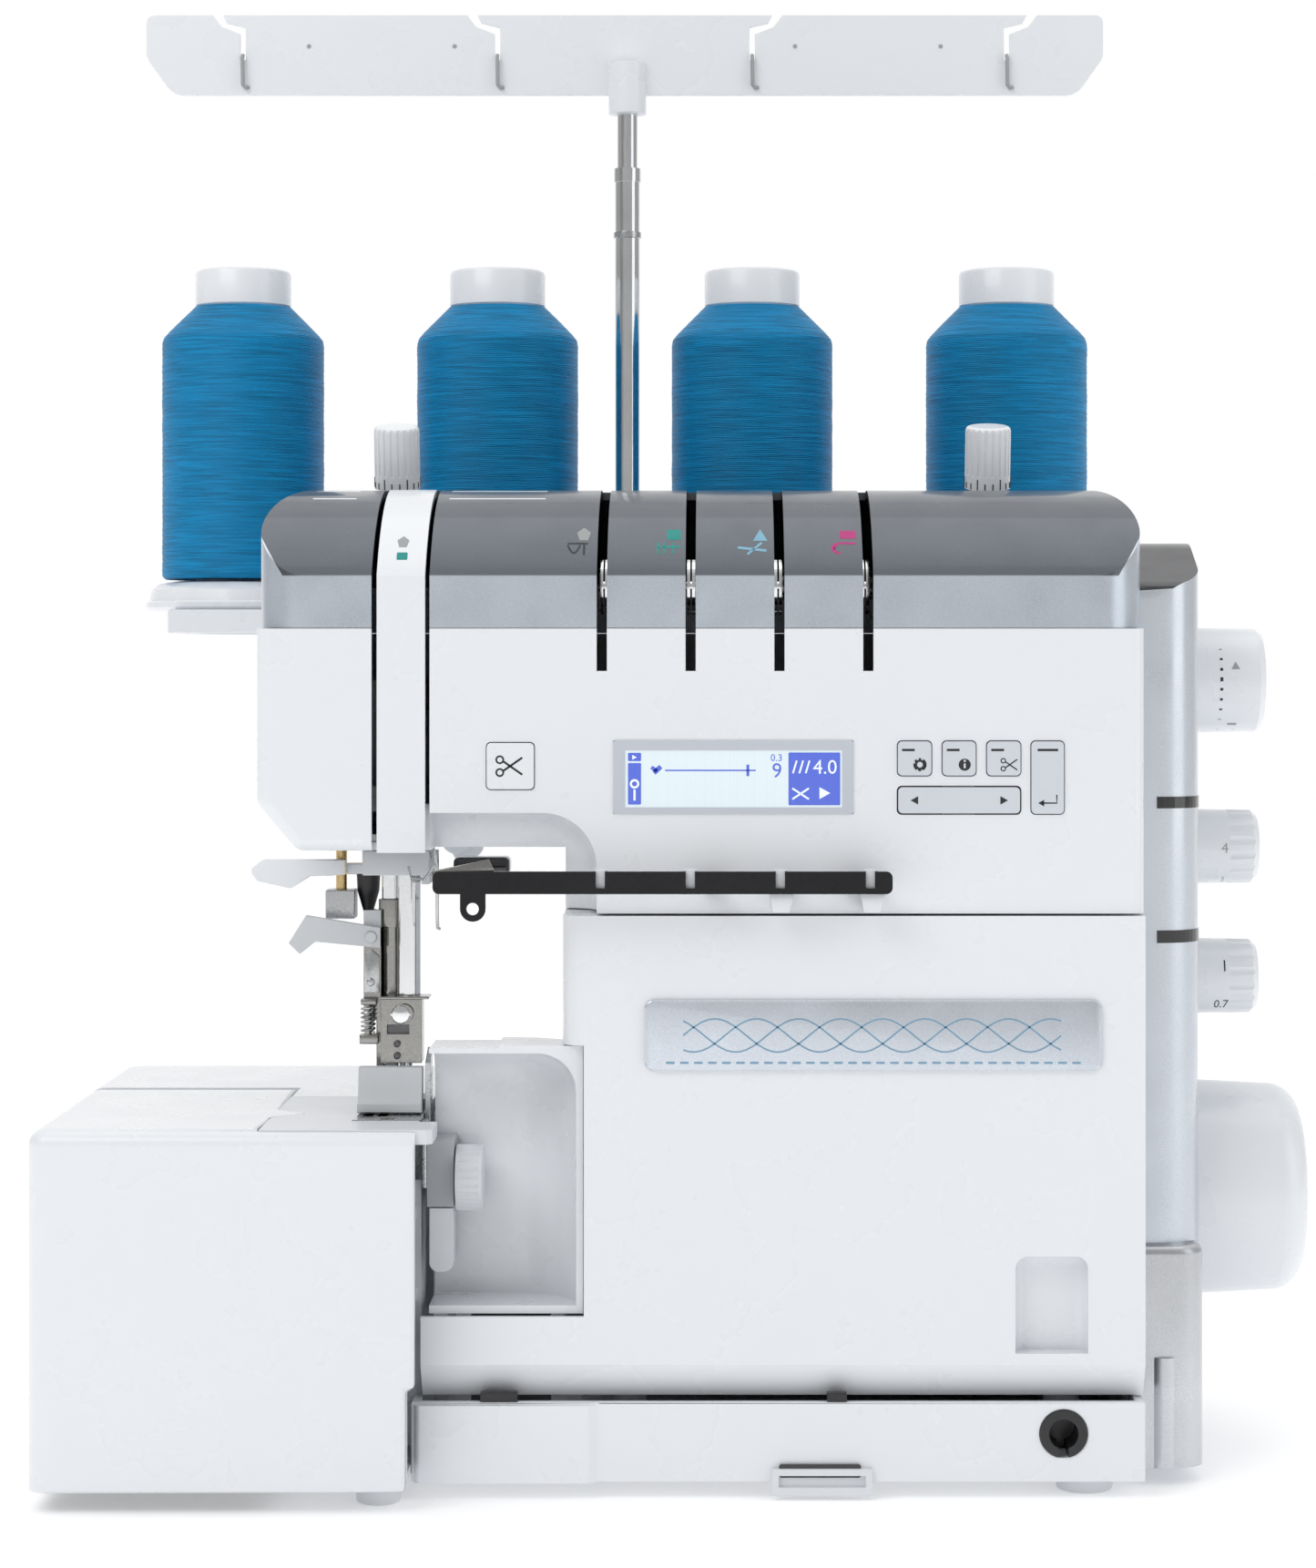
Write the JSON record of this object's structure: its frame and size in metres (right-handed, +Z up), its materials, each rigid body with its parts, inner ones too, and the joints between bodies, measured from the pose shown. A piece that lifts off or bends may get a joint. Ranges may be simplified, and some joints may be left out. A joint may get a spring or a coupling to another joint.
{
  "type": "serger overlock machine",
  "caption": "Overlock sewing machine with opening looper cover, swinging cloth plate, side handwheel and dials, and a telescopic thread stand carrying thread spools.",
  "frame": {"origin": "centre of the bounding box in plan, on the surface the feet stand on", "axes": "+X to the operator's right, +Y to the back, +Z up"},
  "size_m": [0.408, 0.282, 0.5033],
  "materials": {
    "white_plastic": "glossy moulded white",
    "silver_plastic": "metallic silver paint",
    "grey_plastic": "fine grey moulding",
    "button_grey": "satin light grey",
    "black_plastic": "black moulding",
    "steel": "ground steel",
    "chrome": "polished plating",
    "cast_alloy": "cast, as made",
    "rubber": "matte rubber",
    "board": "green laminate",
    "thread": "spool with wound blue thread"
  },
  "bodies": {
    "frame": {"base_tray": "white_plastic", "feet": "rubber", "base_fittings": "black_plastic", "main_frame": "cast_alloy", "shaft_bearings": "steel", "motor": "steel", "drive_belt": "rubber", "circuit_board": "board", "head_front_cover": "white_plastic", "top_cover": "silver_plastic", "take_up_cover": "white_plastic", "rear_cover": "white_plastic", "side_cover": "silver_plastic", "side_sockets": "black_plastic", "bed_rear_cover": "white_plastic", "free_arm": "cast_alloy", "needle_plate": "steel", "scoop_guard": "white_plastic", "lower_knife": "grey_plastic", "display_panel": "grey_plastic", "tension_units": "steel", "thread_guide_rail": "chrome", "spool_tray": "white_plastic", "spool_pins": "white_plastic", "stand_lower_tube": "chrome"},
    "drive": {"main_shaft": "steel", "handwheel": "white_plastic"},
    "motor_rotor": {"motor_pulley": "cast_alloy"},
    "needle_bar": {"needle_bar": "steel"},
    "upper_looper": {"upper_looper": "steel"},
    "lower_looper": {"lower_looper": "steel"},
    "upper_knife": {"upper_knife": "steel"},
    "feed_dogs": {"feed_dogs": "steel"},
    "presser_bar": {"presser_bar": "steel"},
    "presser_foot": {"presser_foot": "steel"},
    "presser_lifter": {"presser_lifter": "white_plastic"},
    "needle_threader": {"threader_lever": "white_plastic"},
    "cover_carriage": {"cover_rod": "steel"},
    "looper_cover": {"looper_cover": "white_plastic"},
    "cloth_plate": {"cloth_plate": "white_plastic"},
    "width_dial": {"width_dial": "white_plastic"},
    "power_switch": {"power_switch": "black_plastic"},
    "stand_middle": {"stand_middle_tube": "chrome"},
    "stand_top": {"stand_top_tube": "chrome"},
    "guide_bar": {"thread_guide_bar": "white_plastic"},
    "set_button": {"set_button": "button_grey"},
    "info_button": {"info_button": "button_grey"},
    "auto_button": {"auto_button": "button_grey"},
    "enter_button": {"enter_button": "button_grey"},
    "cutter_button": {"cutter_button": "white_plastic"},
    "arrow_key": {"arrow_key": "button_grey"},
    "pattern_dial": {"pattern_dial": "white_plastic"},
    "length_dial": {"length_dial": "white_plastic"},
    "feed_dial": {"feed_dial": "white_plastic"},
    "pressure_dial": {"pressure_dial": "white_plastic"},
    "tension_release_dial": {"tension_release_dial": "white_plastic"},
    "spool_1": {"spool_1": "thread"},
    "spool_2": {"spool_2": "thread"},
    "spool_3": {"spool_3": "thread"},
    "spool_4": {"spool_4": "thread"}
  },
  "joints": [
    {"name": "handwheel_turn", "type": "hinge", "parent": "frame", "child": "drive", "pos_m": [0, -0.031, 0.0853], "axis": [1, 0, 0], "continuous": true},
    {"name": "motor_spin", "type": "hinge", "parent": "frame", "child": "motor_rotor", "pos_m": [0, 0.02, 0.15], "axis": [1, 0, 0], "continuous": true},
    {"name": "needle_bar_stroke", "type": "slide", "parent": "frame", "child": "needle_bar", "axis": [0, 0, 1], "range_m": [0, 0.027]},
    {"name": "upper_looper_swing", "type": "hinge", "parent": "frame", "child": "upper_looper", "pos_m": [-0.056, -0.0775, 0.09], "axis": [0, 1, 0], "range_deg": [0, 25]},
    {"name": "lower_looper_swing", "type": "hinge", "parent": "frame", "child": "lower_looper", "pos_m": [-0.06, -0.0875, 0.072], "axis": [0, 1, 0], "range_deg": [-1, 25]},
    {"name": "upper_knife_stroke", "type": "slide", "parent": "frame", "child": "upper_knife", "axis": [0, 0, 1], "range_m": [0, 0.008]},
    {"name": "feed_dog_lift", "type": "slide", "parent": "frame", "child": "feed_dogs", "axis": [0, 0, 1], "range_m": [0, 0.001]},
    {"name": "presser_lifter_turn", "type": "hinge", "parent": "frame", "child": "presser_lifter", "pos_m": [-0.105, 0.06, 0.226], "axis": [0, 1, 0], "range_deg": [-60, 0]},
    {"name": "presser_bar_lift", "type": "slide", "parent": "frame", "child": "presser_bar", "axis": [0, 0, 1], "range_m": [0, 0.0064]},
    {"name": "presser_foot_tilt", "type": "hinge", "parent": "presser_bar", "child": "presser_foot", "pos_m": [-0.0967, -0.078, 0.1304], "axis": [-1, 0, 0], "range_deg": [0, 10]},
    {"name": "threader_press", "type": "slide", "parent": "frame", "child": "needle_threader", "axis": [0, 0, 1], "range_m": [-0.018, 0], "stiffness_N_per_m": 40, "springref_m": 0.02},
    {"name": "looper_cover_slide", "type": "slide", "parent": "frame", "child": "cover_carriage", "axis": [1, 0, 0], "range_m": [0, 0.01]},
    {"name": "looper_cover_open", "type": "hinge", "parent": "cover_carriage", "child": "looper_cover", "pos_m": [0, -0.1135, 0.0415], "axis": [1, 0, 0], "range_deg": [0, 90]},
    {"name": "cloth_plate_swing", "type": "hinge", "parent": "frame", "child": "cloth_plate", "pos_m": [-0.198, -0.033, 0.06], "axis": [0, 0, 1], "range_deg": [-95, 0]},
    {"name": "width_dial_turn", "type": "hinge", "parent": "frame", "child": "width_dial", "pos_m": [-0.07, -0.105, 0.0985], "axis": [1, 0, 0], "range_deg": [-180, 90]},
    {"name": "power_switch_rock", "type": "hinge", "parent": "frame", "child": "power_switch", "pos_m": [0.159, 0.028, 0.048], "axis": [0, 1, 0], "range_deg": [0, 8]},
    {"name": "set_press", "type": "slide", "parent": "frame", "child": "set_button", "axis": [0, 1, 0], "range_m": [0, 0.001], "stiffness_N_per_m": 300, "springref_m": -0.001},
    {"name": "info_press", "type": "slide", "parent": "frame", "child": "info_button", "axis": [0, 1, 0], "range_m": [0, 0.001], "stiffness_N_per_m": 300, "springref_m": -0.001},
    {"name": "auto_press", "type": "slide", "parent": "frame", "child": "auto_button", "axis": [0, 1, 0], "range_m": [0, 0.001], "stiffness_N_per_m": 300, "springref_m": -0.001},
    {"name": "enter_press", "type": "slide", "parent": "frame", "child": "enter_button", "axis": [0, 1, 0], "range_m": [0, 0.001], "stiffness_N_per_m": 300, "springref_m": -0.001},
    {"name": "cutter_press", "type": "slide", "parent": "frame", "child": "cutter_button", "axis": [0, 1, 0], "range_m": [0, 0.001], "stiffness_N_per_m": 300, "springref_m": -0.001},
    {"name": "arrow_key_rock", "type": "hinge", "parent": "frame", "child": "arrow_key", "pos_m": [0.0844, -0.1148, 0.21845], "axis": [0, 0, 1], "range_deg": [-2, 2], "stiffness_Nm_per_rad": 0.3},
    {"name": "pattern_dial_turn", "type": "hinge", "parent": "frame", "child": "pattern_dial", "pos_m": [0.17, -0.031, 0.2557], "axis": [1, 0, 0], "range_deg": [-150, 150]},
    {"name": "length_dial_turn", "type": "hinge", "parent": "frame", "child": "length_dial", "pos_m": [0.17, -0.031, 0.1998], "axis": [1, 0, 0], "range_deg": [-200, 60]},
    {"name": "feed_dial_turn", "type": "hinge", "parent": "frame", "child": "feed_dial", "pos_m": [0.17, -0.031, 0.1562], "axis": [1, 0, 0], "range_deg": [-90, 180]},
    {"name": "pressure_dial_turn", "type": "hinge", "parent": "frame", "child": "pressure_dial", "pos_m": [-0.0986, -0.0345, 0.3174], "axis": [0, -0.2079, 0.9781], "range_deg": [-360, 360]},
    {"name": "tension_release_dial_turn", "type": "hinge", "parent": "frame", "child": "tension_release_dial", "pos_m": [0.0995, -0.0345, 0.3174], "axis": [0, -0.2079, 0.9781], "range_deg": [-90, 90]},
    {"name": "stand_middle_slide", "type": "slide", "parent": "frame", "child": "stand_middle", "axis": [0, 0, 1], "range_m": [-0.035, 0]},
    {"name": "stand_top_slide", "type": "slide", "parent": "stand_middle", "child": "stand_top", "axis": [0, 0, 1], "range_m": [-0.02, 0]},
    {"name": "guide_bar_swivel", "type": "hinge", "parent": "stand_top", "child": "guide_bar", "pos_m": [-0.0247, 0.1, 0.47], "axis": [0, 0, 1], "range_deg": [-90, 90]},
    {"name": "spool_1_spin", "type": "hinge", "parent": "frame", "child": "spool_1", "pos_m": [-0.168, 0.1, 0.3], "axis": [0, 0, 1], "continuous": true},
    {"name": "spool_2_spin", "type": "hinge", "parent": "frame", "child": "spool_2", "pos_m": [-0.0731, 0.1, 0.3], "axis": [0, 0, 1], "continuous": true},
    {"name": "spool_3_spin", "type": "hinge", "parent": "frame", "child": "spool_3", "pos_m": [0.0218, 0.1, 0.3], "axis": [0, 0, 1], "continuous": true},
    {"name": "spool_4_spin", "type": "hinge", "parent": "frame", "child": "spool_4", "pos_m": [0.1167, 0.1, 0.3], "axis": [0, 0, 1], "continuous": true}
  ],
  "couplings": [
    {"joint": "motor_spin", "follows": "handwheel_turn", "ratio": 3.4706},
    {"joint": "upper_looper_swing", "follows": "needle_bar_stroke", "rad_per_m": 15.514},
    {"joint": "lower_looper_swing", "follows": "needle_bar_stroke", "rad_per_m": 15.514},
    {"joint": "upper_knife_stroke", "follows": "needle_bar_stroke", "ratio": 0.28},
    {"joint": "feed_dog_lift", "follows": "needle_bar_stroke", "ratio": 0.036},
    {"joint": "presser_lifter_turn", "follows": "presser_bar_lift", "rad_per_m": -163.6}
  ]
}
